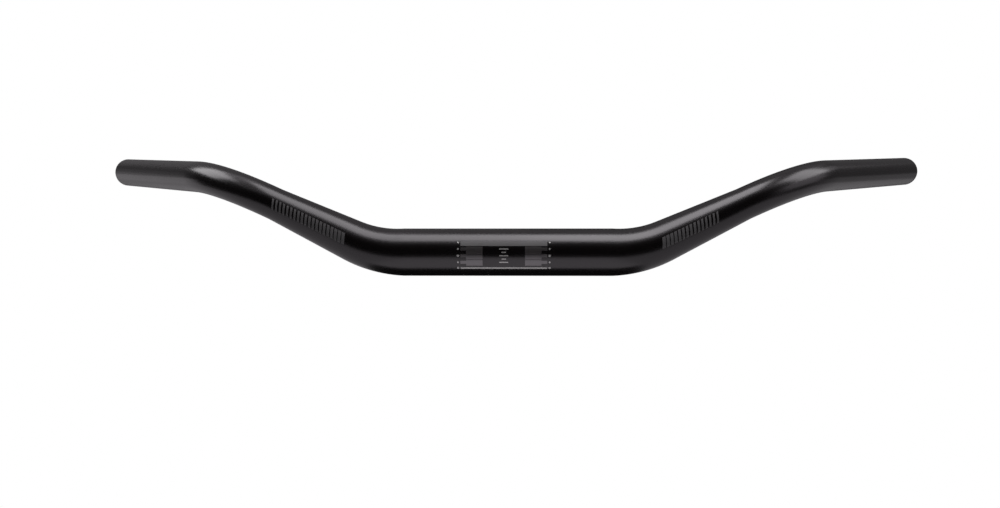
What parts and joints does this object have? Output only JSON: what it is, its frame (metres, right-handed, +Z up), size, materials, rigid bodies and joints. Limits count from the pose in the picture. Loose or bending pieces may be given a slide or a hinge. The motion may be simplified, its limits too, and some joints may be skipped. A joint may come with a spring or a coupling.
{
  "type": "cruiser handlebar",
  "caption": "Swept-back bicycle handlebar: a tapered tube with a thick straight clamp zone in the middle, bent up and back on each side to slim level grips with open ends.",
  "frame": {"origin": "middle of the straight clamp zone, on its axis", "axes": "+X along the clamp zone to the rider's left, +Y back to the rider, +Z up, with the grips level"},
  "size_m": [0.6648, 0.213, 0.0763],
  "materials": {
    "bar_finish": "satin black"
  },
  "bodies": {
    "root": {"handlebar": "bar_finish"}
  },
  "joints": []
}
